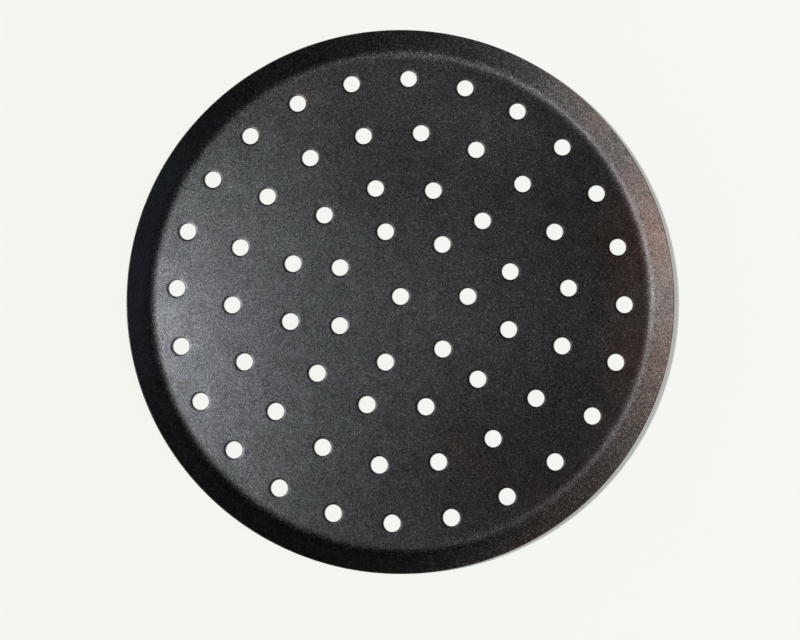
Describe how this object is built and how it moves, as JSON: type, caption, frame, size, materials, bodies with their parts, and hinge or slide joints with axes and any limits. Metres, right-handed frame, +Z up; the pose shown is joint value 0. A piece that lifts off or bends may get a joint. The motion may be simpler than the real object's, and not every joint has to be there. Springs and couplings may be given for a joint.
{
  "type": "perforated pizza pan",
  "caption": "Shallow round pizza pan pressed from dark sheet steel, with a flat floor pierced by rings of vent holes and a plain sloping rim.",
  "frame": {"origin": "middle of the underside, on the surface that the pan rests on", "axes": "+Z up out of the dish; +Y along the spoke that every ring of holes starts on, which is also the mirror line of the hole pattern"},
  "size_m": [0.322, 0.322, 0.008],
  "materials": {
    "seasoned_steel": "dark baked-on coating, satin, with a fine metallic grain and a faint brown and blue tint"
  },
  "bodies": {
    "root": {"pan_body": "seasoned_steel"}
  },
  "joints": []
}
